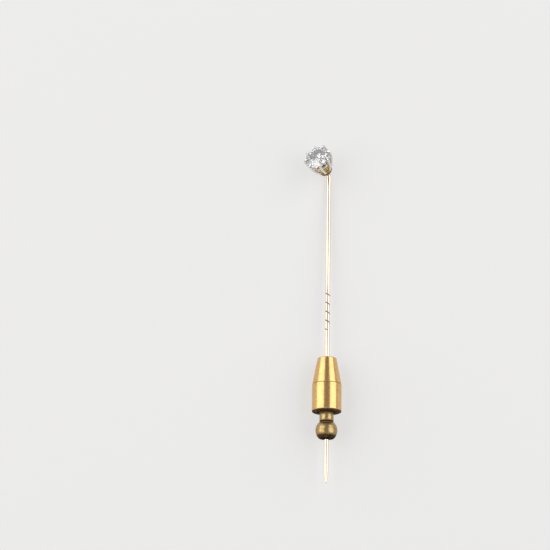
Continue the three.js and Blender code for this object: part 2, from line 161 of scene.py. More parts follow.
class HeadSizes(bpy.types.PropertyGroup):
    """Sizes of the head, with heights on its own axis from the collet's back"""
    stand_off: length("Stand-off", "Straight wire between the bend and the collet", 0.73)
    base_radius: length("Base radius", "Radius of the collet's base band", 1.18)
    base_height: length("Base height", "Height of the collet's base band", 0.45)
    rim_radius: length("Rim radius", "Radius of the collet's rim", 1.32)
    rim_height: length("Rim height", "Height of the collet's rim band", 0.2)
    collet_height: length("Collet height", "Height of the whole collet", 1.5)
    wall: length("Wall", "Thickness of the collet's wall", 0.28)
    groove: length("Groove", "Step from the bands down to the pierced wall", 0.1)
    seat_radius: length("Seat radius", "Radius of the hole that the stem is soldered in", 0.44)
    window_width: length("Window width", "Width of each window in the wall", 0.56)
    window_sill: length("Window sill", "Height of the windows' foot", 0.56)
    window_margin: length("Window margin", "Metal above each window's arch", 0.08)
    claw_phase: number("Claw phase", "Turn of the first claw, in claw spacings", 0.44)
    claw_radius: length("Claw radius", "Radius of each claw", 0.23)
    solder_gap: length("Solder gap", "Gap between each claw and the collet", 0.02)
    claw_foot: length("Claw foot", "Height at which a claw leaves the collet", 0.85)
    claw_root: length("Claw root", "From the head's axis to a claw's middle at its foot", 1.36)
    claw_waist: length("Claw waist", "From the head's axis to a claw's middle at its waist", 1.98)
    claw_waist_rise: length("Claw waist rise", "From a claw's foot up to its waist", 1.35)
    rail_radius: length("Rail radius", "Radius of the band inside the claws", 1.82)
    rail_wall: length("Rail wall", "Thickness of the band inside the claws", 0.28)
    rail_foot: length("Rail foot", "Height of the foot of the band inside the claws", 2.5)
    rail_height: length("Rail height", "Height of the band inside the claws", 0.3)
    claw_stand_out: length("Claw stand-out", "From the girdle out to a claw's middle", 0.12)
    claw_reach: length("Claw reach", "How far a claw's tip reaches in over the stone", 0.34)
    claw_rise: length("Claw rise", "Height of a claw's tip above the girdle", 0.56)
    stone_radius: length("Stone radius", "Radius of the stone at its girdle", 2.3)
    girdle_level: length("Girdle level", "Height of the girdle above the collet's back", 4.1)
    girdle_height: length("Girdle height", "Height of the girdle's edge", 0.1)
    table_ratio: number(
        "Table", "Table width as a share of the stone's width", 0.56, min=0.4, max=0.8)
    crown_angle: angle("Crown angle", "Slope of the crown's main facets", 34.5)
    star_angle: angle("Star angle", "Slope of the star facets", 22)
    upper_angle: angle("Upper half angle", "Slope of the upper half facets", 40.5)
    pavilion_angle: angle("Pavilion angle", "Slope of the pavilion's main facets", 40.8)
    lower_angle: angle("Lower half angle", "Slope of the lower half facets", 42.3)


class ClutchSizes(bpy.types.PropertyGroup):
    """Sizes of the clutch, with distances along the stem's axis from its point"""
    nose_face: length("Nose face", "Where the flat nose is", 22.63)
    cone_foot: length("Cone foot", "Where the cone meets the barrel", 17.85)
    barrel_rear: length("Barrel rear", "Where the barrel ends", 12.8)
    nose_radius: length("Nose radius", "Radius of the flat nose with its rounded edge", 1.72)
    foot_radius: length("Cone foot radius", "Radius of the cone at the barrel", 2.59)
    barrel_radius: length("Barrel radius", "Radius of the barrel", 2.625)
    edge_radius: length("Edge radius", "Rounding of the nose's and the barrel's ends", 0.16)
    nose_bore: length("Nose bore", "Radius of the hole for the stem in the nose", 0.56)
    race_front: length("Race front", "Where the balls' race starts behind the nose", 21.9)
    race_radius: length("Race radius", "Radius of the race at its front", 0.98)
    race_angle: angle("Race angle", "Half-angle of the race", 12)
    spigot_bore: length("Spigot bore", "Bore of the cone's spigot", 1.75)
    spigot_radius: length("Spigot radius", "Radius of the spigot inside the barrel", 2.12)
    spigot_rear: length("Spigot rear", "Where the spigot ends", 16.75)
    barrel_bore: length("Barrel bore", "Bore of the barrel", 2.14)
    lip_bore: length("Lip bore", "Bore of the barrel's rolled rear lip", 1.72)
    lip_thickness: length("Lip thickness", "Thickness of the rolled lip", 0.3)
    gap: length("Running gap", "Gap between parts that move", 0.04)
    washer_thickness: length("Washer thickness", "Thickness of the rear washer", 0.5)
    washer_bore: length("Washer bore", "Bore of the rear washer", 1.3)
    neck_radius: length("Neck radius", "Radius of the plunger's neck", 1.25)
    neck_rear: length("Neck rear", "Where the neck steps down to the tail", 11.1)
    tail_radius: length("Tail radius", "Radius of the tail in the knob", 0.94)
    plunger_bore: length("Plunger bore", "Radius of the plunger's bore for the stem", 0.54)
    cage_radius: length("Cage radius", "Radius of the ball cage", 1.16)
    cage_front: length("Cage front", "Where the ball cage ends", 20.75)
    flange_front: length("Flange front", "Front of the flange that the spring pushes", 16.55)
    flange_rear: length("Flange rear", "Rear of the flange that the spring pushes", 16.05)
    flange_radius: length("Flange radius", "Radius of the flange", 1.95)
    knob_radius: length("Knob radius", "Radius of the pull knob's ball", 1.95)
    knob_centre: length("Knob centre", "Where the ball's centre is", 9.46)
    knob_flat: length("Knob flat", "From the ball's centre to its flat rear", 1.45)
    knob_bore: length("Knob bore", "Bore of the knob round the tail", 0.975)
    knob_mouth: length("Knob mouth", "Radius of the knob's rear mouth", 1.12)
    mouth_depth: length("Mouth depth", "Depth of the knob's rear mouth", 0.45)
    ball_radius: length("Ball radius", "Radius of each grip ball", 0.5)
    ball_orbit: length("Ball orbit", "From the stem's axis to a ball's centre", 0.96)
    ball_hole: length("Ball hole", "Radius of each hole in the cage", 0.53)
    ball_gap: length("Ball gap", "Gap between a ball and the race", 0.02)
    spring_wire: length("Spring wire", "Radius of the spring's wire", 0.14)
    spring_radius: length("Spring radius", "Radius of the spring's coils on the wire's axis", 1.62)
    spring_turns: number("Spring turns", "Turns of the spring", 3.5, min=1)


class Finishes(bpy.types.PropertyGroup):
    """Colours of the pin's metals and of the surface that it lies on"""
    rose_gold: colour("Rose gold", "Colour of the stem", (0.92, 0.76, 0.60))
    yellow_gold: colour("Yellow gold", "Colour of the collet", (0.86, 0.56, 0.17))
    white_gold: colour("White gold", "Colour of the claws", (0.80, 0.79, 0.76))
    brass: colour("Brass", "Colour of the clutch's casing", (0.76, 0.47, 0.19))
    old_brass: colour("Old brass", "Colour of the plunger and the knob", (0.50, 0.35, 0.15))
    steel: colour("Steel", "Colour of the balls and the spring", (0.56, 0.57, 0.58))
    # This dark colour is painted shade and painted reflection in holes, corners and rear faces,
    # and tarnish at joints.
    tarnish: colour("Tarnish", "Colour of the metal in grooves and corners", (0.022, 0.012, 0.006))
    surface: colour("Surface", "Colour of the surface under the pin", (0.28, 0.279, 0.275))


class StageSizes(bpy.types.PropertyGroup):
    """Where the camera and the softboxes stand"""
    camera_tilt: angle("Camera tilt", "How far the camera leans from straight down", 13.2)
    camera_roll: angle("Camera roll", "Turn of the camera about its own line of sight", 0.874)
    camera_field: angle("Camera field", "The camera's angle of view", 12)
    camera_distance: metres(
        "Camera distance", "From the camera to the point it looks at", 0.4721)
    look_at: FloatVectorProperty(
        name="Look at", description="The point on the surface at the middle of the picture",
        default=(-0.008515, 0.007579, 0.0), subtype="TRANSLATION", unit="LENGTH")
    box_length: metres("Softbox length", "Length of each softbox along the pin", 0.9)
    left_width: metres("Left width", "Width of the left softbox", 0.63)
    right_width: metres("Right width", "Width of the right softbox", 0.53)
    box_distance: metres("Softbox distance", "From each softbox to the pin", 0.55)
    left_lean: angle("Left softbox", "How far the left softbox leans from straight up", 55)
    right_lean: angle("Right softbox", "How far the right softbox leans from straight up", 51)
    box_forward: metres("Softboxes forward", "How far they stand towards the head", 0.15)
    brightness: number(
        "Softbox brightness", "Radiance of the softboxes, in W/(sr m2)", 1.9, min=0)
    glow: number("Surface glow", "Light that comes up through the surface", 0.53, min=0)
    room_light: number("Room light", "Strength of the even light from all round", 0.34, min=0)
    turned_sides: IntProperty(
        name="Turned sides", description="Sides of a turned piece", default=96, min=16, max=256)


GROUPS = {
    "stick_pin_stem": StemSizes,
    "stick_pin_head": HeadSizes,
    "stick_pin_clutch": ClutchSizes,
    "stick_pin_finishes": Finishes,
    "stick_pin_stage": StageSizes,
}


def millimetres(group):
    """A group's values, with its lengths in the millimetres that the pieces are modelled in."""
    values = {}
    for setting in group.bl_rna.properties:
        if setting.identifier not in {"rna_type", "name"}:
            value = getattr(group, setting.identifier)
            is_length = getattr(setting, "unit", "NONE") == "LENGTH"
            values[setting.identifier] = value / MM if is_length else value
    return SimpleNamespace(**values)


def stem_sizes():
    return millimetres(bpy.context.scene.stick_pin_stem)


def head_sizes():
    return millimetres(bpy.context.scene.stick_pin_head)


def clutch_sizes():
    return millimetres(bpy.context.scene.stick_pin_clutch)


def turned_sides():
    return bpy.context.scene.stick_pin_stage.turned_sides


def stem_place():
    """The pin's frame turned about the stem, so that +Z is the way that the wire bends."""
    return PIN_PLACE @ Matrix.Rotation(-stem_sizes().roll, 4, "Y")


def head_place():
    """The head's own frame: +Y from the collet's back, at its middle, out through the stone."""
    s = stem_sizes()
    bend = Matrix.Rotation(s.bend_angle, 4, "X")
    along = s.bend_start + s.bend_radius * math.sin(s.bend_angle)
    up = s.bend_radius * (1 - math.cos(s.bend_angle))
    stand_off = Matrix.Translation((0, head_sizes().stand_off, 0))
    return stem_place() @ Matrix.Translation((0, along, up)) @ bend @ stand_off


def arc(radius, height, size, start, end, steps):
    """Profile points on an arc, as (radius, height) pairs."""
    points = []
    for i in range(steps + 1):
        turn = start + (end - start) * i / steps
        points.append((radius + size * math.cos(turn), height + size * math.sin(turn)))
    return points


def turned(profile, sides, ring=False, step=0):
    """A profile of (radius, height) points turned about the Y axis. A ring's profile closes.

    Spans longer than the step, if one is given, are divided evenly into shorter ones.
    """
    bm = bmesh.new()
    corners = [bm.verts.new((radius, height, 0)) for radius, height in profile]
    edges = [bm.edges.new(pair) for pair in zip(corners, corners[1:])]
    if ring:
        edges.append(bm.edges.new((corners[-1], corners[0])))
    for edge in edges if step else []:
        cuts = math.ceil(edge.calc_length() / step) - 1
        if cuts > 0:
            bmesh.ops.subdivide_edges(bm, edges=[edge], cuts=cuts)
    corners, edges = bm.verts[:], bm.edges[:]
    bmesh.ops.spin(
        bm, geom=corners + edges, cent=(0, 0, 0), axis=(0, 1, 0), dvec=(0, 0, 0),
        angle=FULL_TURN, steps=sides, use_merge=True)
    close_up(bm)
    return bm


def close_up(bm):
    """Joins points that meet and turns every face outwards."""
    bmesh.ops.remove_doubles(bm, verts=bm.verts, dist=1e-5)
    bmesh.ops.dissolve_degenerate(bm, edges=bm.edges, dist=1e-6)
    bmesh.ops.recalc_face_normals(bm, faces=bm.faces)


def soften(bm, width, sharpest=math.radians(24)):
    """Rounds every edge that is sharper than the given angle."""
    edges = [e for e in bm.edges if len(e.link_faces) == 2 and e.calc_face_angle() > sharpest]
    bmesh.ops.bevel(
        bm, geom=edges, offset=width, offset_type="OFFSET", affect="EDGES", segments=3,
        profile=0.5, material=-1, clamp_overlap=True)


def cut(bm, cutter):
    """The bmesh with the cutter's solid taken away. Both are used up."""
    pair = []
    for solid in (bm, cutter):
        mesh = bpy.data.meshes.new("cutting")
        solid.to_mesh(mesh)
        solid.free()
        pair.append(bpy.data.objects.new("cutting", mesh))
        bpy.context.scene.collection.objects.link(pair[-1])
    body, tool = pair
    modifier = body.modifiers.new("cut", "BOOLEAN")
    modifier.operation = "DIFFERENCE"
    modifier.solver = "MANIFOLD"
    modifier.object = tool
    result = bmesh.new()
    result.from_object(body, bpy.context.evaluated_depsgraph_get())
    for used in pair:
        bpy.data.objects.remove(used)
    close_up(result)
    return result


def only(kind, parts):
    """The parts of a bmesh that are of one kind, in their order."""
    return [part for part in parts if isinstance(part, kind)]


def extruded(bm, ring):
    """Extrudes a ring of edges, and gives the new corners and the new ring."""
    grown = bmesh.ops.extrude_edge_only(bm, edges=ring)["geom"]
    corners = only(bmesh.types.BMVert, grown)
    ring = [edge for edge in only(bmesh.types.BMEdge, grown)
            if all(corner in corners for corner in edge.verts)]
    return corners, ring


def swept(sections, sides):
    """A closed rod through round sections, each a matrix to its plane with its radius as scale."""
    bm = bmesh.new()
    bmesh.ops.create_circle(bm, cap_ends=True, radius=1, segments=sides, matrix=sections[0])
    ring = list(bm.edges)
    for before, after in zip(sections, sections[1:]):
        corners, ring = extruded(bm, ring)
        bmesh.ops.transform(bm, matrix=after @ before.inverted(), verts=corners)
    bmesh.ops.holes_fill(bm, edges=ring, sides=0)
    bmesh.ops.recalc_face_normals(bm, faces=bm.faces)
    return bm


def section(centre, direction, radius):
    """The matrix of a round section of a rod that runs in the YZ plane."""
    lean = Matrix.Rotation(math.atan2(-direction.y, direction.z), 4, "X")
    return Matrix.Translation(centre) @ lean @ Matrix.Scale(radius, 4)


def darken(bm, rule):
    """Stores how dark each point is painted, from 0 to 1, for the metals to read: painted shade
    and painted reflection in most places, tarnish at joints.
    """
    layer = bm.verts.layers.float.get("tarnish") or bm.verts.layers.float.new("tarnish")
    for vert in bm.verts:
        vert[layer] = max(vert[layer], min(max(rule(vert.co), 0), 1))


def fading(offset, reach):
    """1 at no offset, fading to 0 at the given reach."""
    return max(0, 1 - abs(offset) / reach)


def radius_of(co):
    return math.hypot(co.x, co.z)


def finish_piece(name, bm, place, slot, body, node, crisp=False):
    """Puts a modelled piece in its place, on its body and in its finish, for its CAD node."""
    mesh = bpy.data.meshes.new(name)
    bm.to_mesh(mesh)
    bm.free()
    mesh.transform(place)
    mesh.shade_flat() if crisp else mesh.shade_smooth()
    mesh.materials.append(finish(slot))
    piece = bpy.data.objects.new(name, mesh)
    bpy.context.scene.collection.objects.link(piece)
    if not crisp:
        weighted = piece.modifiers.new("even shading", "WEIGHTED_NORMAL")
        weighted.mode = "FACE_AREA"
        weighted.keep_sharp = True
    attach(piece, body)
    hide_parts(node)
    return piece


class Nodes:
    """Adds and joins the nodes of one material."""

    def __init__(self, name):
        self.material = bpy.data.materials.new(name)
        self.material.use_nodes = True
        self.tree = self.material.node_tree
        self.shader = self.tree.nodes["Principled BSDF"]

    def add(self, kind, inputs=(), **settings):
        node = self.tree.nodes.new(kind)
        for setting, value in settings.items():
            setattr(node, setting, value)
        for socket, value in dict(inputs).items():
            if isinstance(value, bpy.types.NodeSocket):
                self.tree.links.new(value, node.inputs[socket])
            else:
                node.inputs[socket].default_value = value
        return node

    def shade(self, **inputs):
        for socket, value in inputs.items():
            target = self.shader.inputs[socket.replace("_", " ")]
            if isinstance(value, bpy.types.NodeSocket):
                self.tree.links.new(value, target)
            else:
                target.default_value = value

    def pin_coordinates(self, stretch=(1, 1, 1)):
        """Millimetres in the pin's own frame, with +Y along the stem, then stretched."""
        here = self.add("ShaderNodeTexCoord").outputs["Object"]
        own = self.add(
            "ShaderNodeMapping", {
                "Vector": here, "Location": PIN_TIP, "Rotation": (PIN_PITCH, 0, 0),
                "Scale": (MM, MM, MM)}, vector_type="TEXTURE").outputs["Vector"]
        return self.add(
            "ShaderNodeMapping", {"Vector": own, "Scale": stretch}).outputs["Vector"]

    def noise(self, scale, detail, stretch=(1, 1, 1), roughness=0.5):
        return self.add("ShaderNodeTexNoise", {
            "Vector": self.pin_coordinates(stretch), "Scale": scale, "Detail": detail,
            "Roughness": roughness}).outputs["Fac"]

    def between(self, value, low, high, from_low=0.35, from_high=0.65):
        """A 0 to 1 pattern's middle range, turned into the range from low to high."""
        return self.add("ShaderNodeMapRange", {
            "Value": value, "From Min": from_low, "From Max": from_high, "To Min": low,
            "To Max": high}).outputs["Result"]

    def mix(self, share, first, second):
        """A mix of two colours."""
        node = self.add("ShaderNodeMix", data_type="RGBA")
        for socket, value in (("Factor_Float", share), ("A_Color", first), ("B_Color", second)):
            target = next(s for s in node.inputs if s.identifier == socket)
            if isinstance(value, bpy.types.NodeSocket):
                self.tree.links.new(value, target)
            elif socket == "Factor_Float":
                target.default_value = value
            else:
                target.default_value = (*value[:3], 1)
        return next(s for s in node.outputs if s.identifier == "Result_Color")

    def math(self, operation, first, second):
        return self.add(
            "ShaderNodeMath", {0: first, 1: second}, operation=operation,
            use_clamp=True).outputs["Value"]


def metal(name, tone, polish, wear, marks, mark_depth, patina):
    """A metal with a soft mottle, fine tool marks, and dark painted shade and tarnish where a
    piece says so.

    polish is the roughness and wear is how much it varies. patina is how far the mottle goes
    towards the dark colour that also paints the shade.
    """
    dark = tuple(bpy.context.scene.stick_pin_finishes.tarnish)
    nodes = Nodes(name)
    mottle = nodes.noise(0.9, 5, roughness=0.6)
    shade = tuple(0.86 * channel for channel in tone)
    body = nodes.mix(nodes.between(mottle, 0, 1), tone, shade)
    if patina:
        blotches = nodes.between(nodes.noise(2.3, 7, roughness=0.65), 0, patina, 0.42, 0.72)
        body = nodes.mix(blotches, body, dark)
    # Painted shade and tarnish: each piece's stored darkness mixes in the dark colour.
    told = nodes.add("ShaderNodeAttribute", attribute_name="tarnish").outputs["Fac"]
    broken = nodes.between(nodes.noise(6, 4), 0.75, 1.1)
    body = nodes.mix(nodes.math("MULTIPLY", told, broken), body, dark)
    scale, detail, stretch = marks
    tooling = nodes.noise(scale, detail, stretch)
    smears = nodes.noise(3.1, 6, roughness=0.7)
    rough = nodes.between(smears, polish, polish + wear)
    rough = nodes.math("ADD", rough, nodes.math("MULTIPLY", told, 0.6))
    bare = nodes.math("SUBTRACT", 1.0, nodes.math("MULTIPLY", told, 0.85))
    bump = nodes.add("ShaderNodeBump", {
        "Strength": 0.6, "Distance": mark_depth * MM, "Height": tooling}).outputs["Normal"]
    nodes.shade(
        Base_Color=body, Metallic=bare, Specular_IOR_Level=0.1, Roughness=rough, Normal=bump)
    return nodes.material


def finish(slot):
    """The material for a slot, made once and then shared by the pieces that have it."""
    name = f"{slot}_finish"
    ready = bpy.data.materials.get(name)
    if ready:
        return ready
    if slot == "diamond":
        return diamond(name)
    setting, *look = METALS[slot]
    return metal(name, tuple(getattr(bpy.context.scene.stick_pin_finishes, setting)), *look)


def diamond(name):
    """Clear, hard and bright, with the high refraction that gives a diamond its life."""
    nodes = Nodes(name)
    haze = nodes.between(nodes.noise(7, 5), 0.0, 0.012)
    nodes.shade(
        Base_Color=(0.985, 0.99, 1.0, 1), Roughness=haze, IOR=DIAMOND_INDEX,
        Transmission_Weight=0.8)
    return nodes.material


def wire_radius(s, distance):
    """Radius of the stem at a distance from its point, groove left out."""
    if distance < s.point_length:
        share = 1 - distance / s.point_length
        return s.point_radius * math.sqrt(max(0, 1 - share * share))
    if distance < s.taper_length:
        share = (distance - s.point_length) / (s.taper_length - s.point_length)
        return s.point_radius + (s.taper_radius - s.point_radius) * math.sin(share * math.pi / 2)
    share = (distance - s.taper_length) / (s.bend_start - s.taper_length)
    plain = s.taper_radius + share * (s.head_radius - s.taper_radius)
    return plain + (s.swell_radius - plain) * swelling(s, distance)


def swelling(s, distance):
    """How far the wire has swelled for its grooved length, from 0 to 1."""
    foot = s.groove_start
    top = foot + s.groove_pitch * s.groove_turns
    outside = max(foot - distance, distance - top, 0)
    share = max(0, 1 - outside / s.swell_ramp)
    return share * share * (3 - 2 * share)


def groove_at(s, co):
    """Depth of the left-handed groove at a point of the stem, as a share of its full depth."""
    turns = (co.y - s.groove_start) / s.groove_pitch
    if not -0.5 < turns < s.groove_turns + 0.5:
        return 0
    around = math.atan2(co.x, co.z) / FULL_TURN + turns
    circle = FULL_TURN * s.swell_radius
    lead = math.atan2(s.groove_pitch, circle)
    across = abs(around - round(around)) * circle * math.sin(lead)
    share = max(0, 1 - (2 * across / s.groove_width) ** 2)
    ends = min(turns, s.groove_turns - turns)
    run_out = min(max(ends / 0.12 + 1, 0), 1)
    return share * run_out


def ring_at(bm, distance):
    """The edges of the ring of points at a distance along the Y axis."""
    return [e for e in bm.edges if all(abs(v.co.y - distance) < 1e-4 for v in e.verts)]


def spaced(start, end, count):
    """Even steps from the start, which is left out, to the end."""
    return [start + (end - start) * i / count for i in range(1, count + 1)]


def modelled_stem():
    s = stem_sizes()
    grooved_from = s.groove_start - s.groove_pitch / 2
    grooved_to = s.groove_start + s.groove_pitch * (s.groove_turns + 0.5)
    heights = [s.point_length * (1 - math.cos(i * math.pi / 16)) for i in range(9)]
    heights += spaced(s.point_length, s.taper_length, 12)
    heights += spaced(s.taper_length, grooved_from, 24)
    heights += spaced(grooved_from, grooved_to, 240)
    heights += spaced(grooved_to, s.bend_start, 24)
    bm = turned([(wire_radius(s, height), height) for height in heights], 64)
    # Painted shade: the groove is painted dark in step with its depth.
    tarnish = bm.verts.layers.float.new("tarnish")
    for vert in bm.verts:
        share = groove_at(s, vert.co)
        if share:
            radius = radius_of(vert.co)
            sunk = (radius - s.groove_depth * share) / radius
            vert.co.x *= sunk
            vert.co.z *= sunk
            vert[tarnish] = 0.85 * share
    ring = ring_at(bm, s.bend_start)
    corners = list({corner for edge in ring for corner in edge.verts})
    turned_end = bmesh.ops.spin(
        bm, geom=corners + ring, cent=(0, s.bend_start, s.bend_radius), axis=(1, 0, 0),
        dvec=(0, 0, 0), angle=s.bend_angle, steps=20, use_merge=False)["geom_last"]
    ring = only(bmesh.types.BMEdge, turned_end)
    h = head_sizes()
    up_to_collet = Vector((0, math.cos(s.bend_angle), math.sin(s.bend_angle)))
    for rise in (h.stand_off, h.base_height):
        corners, ring = extruded(bm, ring)
        bmesh.ops.translate(bm, vec=up_to_collet * rise, verts=corners)
    bmesh.ops.holes_fill(bm, edges=ring, sides=0)
    close_up(bm)
    return bm


def tulip_radius(h, height):
    """Outer radius of the pierced wall at a height."""
    foot = h.base_height
    top = h.collet_height - h.rim_height
    waist = h.base_radius - h.groove
    swell = h.rim_radius - h.groove - waist
    return waist + swell * max(0, (height - foot) / (top - foot)) ** 2


def window_outline(h, steps):
    """One window's outline in (sideways, height), from its foot's middle round to it again."""
    half = h.window_width / 2
    spring_line = h.collet_height - h.rim_height - h.window_margin - half
    side = spring_line - h.window_sill
    around = 2 * half + 2 * side + math.pi * half
    points = []
    for i in range(steps):
        run = around * i / steps
        if run < half:
            points.append((run, h.window_sill))
        elif run < half + side:
            points.append((half, h.window_sill + run - half))
        elif run < half + side + math.pi * half:
            turn = (run - half - side) / half
            points.append((half * math.cos(turn), spring_line + half * math.sin(turn)))
        elif run < half + 2 * side + math.pi * half:
            points.append((-half, spring_line - (run - half - side - math.pi * half)))
        else:
            points.append((run - around, h.window_sill))
    return points


def panel_outline(h, steps):
    """The edge of one window's share of the wall in (turn, height), from its foot's middle."""
    half_turn = math.pi / CLAWS
    foot = h.base_height - h.groove / 2
    top = h.collet_height - h.rim_height + h.groove / 2
    corners = [(0, foot), (half_turn, foot), (half_turn, top), (-half_turn, top),
               (-half_turn, foot), (0, foot)]
    shares = [1, 3, 2, 3, 1]
    points = []
    for (start, end), share in zip(zip(corners, corners[1:]), shares):
        count = steps * share // sum(shares)
        for i in range(count):
            points.append(tuple(a + (b - a) * i / count for a, b in zip(start, end)))
    return points


def pierced_wall(h):
    """The collet's wall with a window between each two claws, as a closed shell."""
    steps = 60
    bm = bmesh.new()
    edge = [bm.verts.new((turn, height, 0)) for turn, height in panel_outline(h, steps)]
    ring = [bm.edges.new(pair) for pair in zip(edge, edge[1:] + edge[:1])]
    corners, _ = extruded(bm, ring)
    by_place = {tuple(round(c, 6) for c in corner.co): corner for corner in corners}
    for outer, (sideways, height) in zip(edge, window_outline(h, steps)):
        corner = by_place[tuple(round(c, 6) for c in outer.co)]
        corner.co = (sideways / tulip_radius(h, height), height, 0)
    spokes = [e for e in bm.edges if sum(v in edge for v in e.verts) == 1]
    bmesh.ops.subdivide_edges(bm, edges=spokes, cuts=4, use_grid_fill=True)
    panel = bm.verts[:] + bm.edges[:] + bm.faces[:]
    for i in range(1, CLAWS):
        corners = only(bmesh.types.BMVert, bmesh.ops.duplicate(bm, geom=panel)["geom"])
        bmesh.ops.translate(bm, vec=(FULL_TURN * i / CLAWS, 0, 0), verts=corners)
    bmesh.ops.recalc_face_normals(bm, faces=bm.faces)
    for vert in bm.verts:
        turn, height = vert.co.x, vert.co.y
        radius = tulip_radius(h, height)
        vert.co = (radius * math.sin(turn), height, radius * math.cos(turn))
    bmesh.ops.remove_doubles(bm, verts=bm.verts, dist=1e-4)
    bmesh.ops.recalc_face_normals(bm, faces=bm.faces)
    bm.faces.ensure_lookup_table()
    middle = bm.faces[0].calc_center_median()
    outwards = bm.faces[0].normal.dot(Vector((middle.x, 0, middle.z)))
    bmesh.ops.solidify(bm, geom=bm.faces[:], thickness=h.wall if outwards > 0 else -h.wall)
    bmesh.ops.recalc_face_normals(bm, faces=bm.faces)
    soften(bm, 0.05, math.radians(50))
    return bm


def band(inner, outer, foot, top, width):
    """A turned band with rounded edges."""
    bm = turned([(inner, foot), (outer, foot), (outer, top), (inner, top)], turned_sides(),
                ring=True)
    soften(bm, width)
    return bm


def joined(*parts):
    """One bmesh of several closed shells. The parts are used up."""
    whole = bmesh.new()
    for part in parts:
        mesh = bpy.data.meshes.new("joining")
        part.to_mesh(mesh)
        part.free()
        whole.from_mesh(mesh)
        bpy.data.meshes.remove(mesh)
    return whole


def modelled_collet():
    h = head_sizes()
    base = band(h.seat_radius, h.base_radius, 0, h.base_height, 0.07)
    rim_foot = h.collet_height - h.rim_height
    rim = band(h.rim_radius - h.wall - h.groove, h.rim_radius, rim_foot, h.collet_height, 0.06)
    wall = pierced_wall(h)
    bmesh.ops.rotate(
        wall, verts=wall.verts, cent=(0, 0, 0),
        matrix=Matrix.Rotation(FULL_TURN * (h.claw_phase + 0.5) / CLAWS, 3, "Y"))
    bm = joined(base, rim, wall)
    darken(bm, lambda co: 0.9 * fading(radius_of(co) - h.seat_radius, 0.12))
    # Painted reflection: the base band's outer side is painted near-black, as the dark that it
    # would mirror.
    darken(bm, lambda co: 0.95 if 0 < co.y < 0.87 * h.base_height
           and radius_of(co) > 0.9 * h.base_radius else 0)
    # Painted shade in the step from the base band up to the pierced wall.
    darken(bm, lambda co: 0.55 * fading(co.y - h.base_height, 0.1)
           if radius_of(co) < h.base_radius - 0.02 else 0)
    # Painted shade on the inside of the pierced wall, seen through the gaps.
    darken(bm, lambda co: 0.6 if h.base_height < co.y < rim_foot
           and radius_of(co) < tulip_radius(h, co.y) - 0.6 * h.wall else 0)
    return bm


def facet(bm, tilt, turn, radius, height):
    """Cuts one facet: a plane that leans out from the stone's axis by its tilt."""
    outwards = Matrix.Rotation(turn, 3, "Y") @ Matrix.Rotation(-tilt, 3, "Z")
    point = Matrix.Rotation(turn, 3, "Y") @ Vector((radius, height, 0))
    bmesh.ops.bisect_plane(
        bm, geom=bm.verts[:] + bm.edges[:] + bm.faces[:], dist=1e-4, plane_co=point,
        plane_no=outwards @ Vector((0, 1, 0)), clear_outer=True)
    wrap(bm, 1e-4)


def wrap(bm, reach):
    """Joins points within reach and leaves nothing but the convex skin round them."""
    bmesh.ops.delete(bm, geom=bm.edges[:], context="EDGES_FACES")
    bmesh.ops.remove_doubles(bm, verts=bm.verts, dist=reach)
    skin = bmesh.ops.convex_hull(bm, input=bm.verts)
    spare = only(bmesh.types.BMVert, skin["geom_interior"] + skin["geom_unused"])
    bmesh.ops.delete(bm, geom=list(dict.fromkeys(spare)), context="VERTS")


def facets(bm, count, phase, tilt, radius, height):
    for i in range(count):
        facet(bm, tilt, FULL_TURN * (i + phase) / count, radius, height)


def modelled_stone():
    h = head_sizes()
    radius = h.stone_radius
    girdle_top = h.girdle_level + h.girdle_height / 2
    girdle_foot = h.girdle_level - h.girdle_height / 2
    table_radius = radius * h.table_ratio
    table = girdle_top + (radius - table_radius) * math.tan(h.crown_angle)
    culet = girdle_foot - radius * math.tan(h.pavilion_angle)
    bm = turned([(radius, culet), (radius, table)], 96)
    main = 8
    star_radius = table_radius * math.cos(math.pi / main)
    facets(bm, main, 0, h.crown_angle, radius, girdle_top)
    facets(bm, 2 * main, 0.5, h.upper_angle, radius, girdle_top)
    facets(bm, main, 0.5, h.star_angle, star_radius, table)
    facets(bm, main, 0, math.pi - h.pavilion_angle, radius, girdle_foot)
    facets(bm, 2 * main, 0.5, math.pi - h.lower_angle, radius, girdle_foot)
    wrap(bm, 4e-3)
    bmesh.ops.dissolve_limit(
        bm, angle_limit=math.radians(0.3), verts=bm.verts, edges=bm.edges)
    close_up(bm)
    return bm


def seat_for_stone(h):
    """The space that a claw's notch leaves for the stone."""
    snug = 0.01
    radius = h.stone_radius + snug
    half = h.girdle_height / 2 + snug
    return turned([
        (0, h.girdle_level - half - radius * math.tan(h.pavilion_angle)),
        (radius, h.girdle_level - half),
        (radius, h.girdle_level + half),
        (0, h.girdle_level + half + radius * math.tan(h.crown_angle)),
    ], 192)


def smooth_path(points, share):
    """A point on a smooth curve through the points, at a share of the way along, and its way."""
    spans = len(points) - 1
    place = min(share * spans, spans - 1e-6)
    i = int(place)
    t = place - i
    p1, p2 = points[i], points[i + 1]
    p0 = points[i - 1] if i > 0 else 2 * p1 - p2
    p3 = points[i + 2] if i + 2 <= spans else 2 * p2 - p1
    bend = 2 * p0 - 5 * p1 + 4 * p2 - p3
    swing = 3 * p1 - p0 - 3 * p2 + p3
    where = p1 + (p2 - p0) * (t / 2) + bend * (t * t / 2) + swing * (t ** 3 / 2)
    way = (p2 - p0) / 2 + bend * t + swing * (1.5 * t * t)
    return where, way.normalized()


def seat_for_collet(h):
    """The space that a claw leaves for the collet's wall and rim."""
    gap = h.solder_gap
    above_base = h.base_height + gap
    rim_foot = h.collet_height - h.rim_height
    return turned([
        (0, 0),
        (h.base_radius + gap, 0),
        (h.base_radius + gap, above_base),
        (h.base_radius - h.groove + gap, above_base),
        (h.rim_radius - h.groove + gap, rim_foot - gap),
        (h.rim_radius + gap, rim_foot),
        (h.rim_radius + gap, h.collet_height + gap),
        (0, h.collet_height + gap),
    ], 192)


